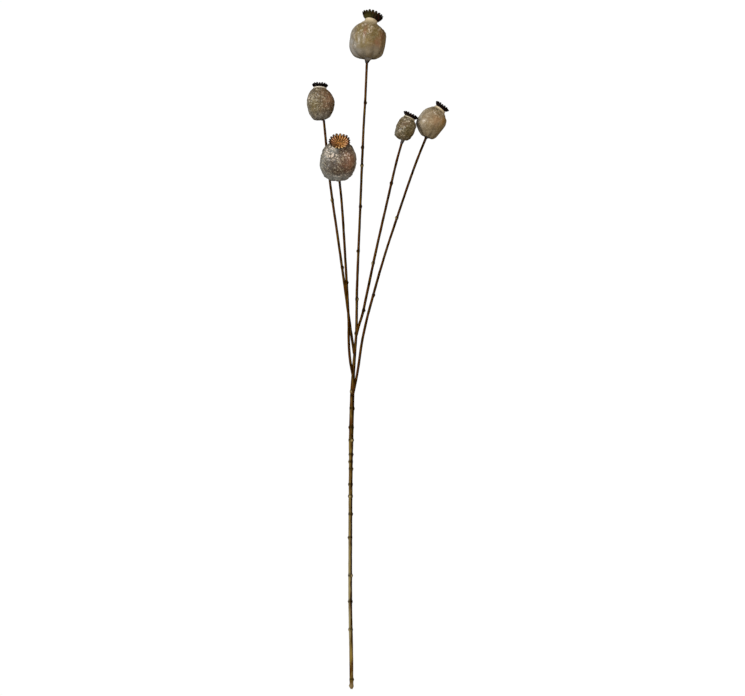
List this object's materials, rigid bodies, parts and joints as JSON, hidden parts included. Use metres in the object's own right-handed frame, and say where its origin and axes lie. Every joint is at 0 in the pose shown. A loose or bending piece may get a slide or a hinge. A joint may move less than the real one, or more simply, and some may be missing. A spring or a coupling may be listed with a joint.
{
  "type": "poppy seed head",
  "caption": "Cut poppy stem that forks into long branches, each with a ripe ribbed pod under a toothed crown, lying on its side.",
  "frame": {"origin": "middle of the footprint, on the surface that the stem lies on", "axes": "+Y along the stem from its cut end to the top pod, +Z up from the surface, +X to the right seen from above with +Y up"},
  "size_m": [0.1561, 0.7488, 0.0575],
  "materials": {
    "stem": "dry olive-brown stalk, faintly ridged, with darker leaf scars",
    "capsule": "dry grey-beige husk with a pale bloom, soft ribs and fine wrinkles",
    "crown": "dark brown, woody and pleated, copper brown inside"
  },
  "bodies": {
    "root": {"stem": "stem", "capsule_top": "capsule", "capsule_left": "capsule", "capsule_front": "capsule", "capsule_small": "capsule", "capsule_right": "capsule", "crown_top": "crown", "crown_left": "crown", "crown_front": "crown", "crown_small": "crown", "crown_right": "crown"}
  },
  "joints": []
}
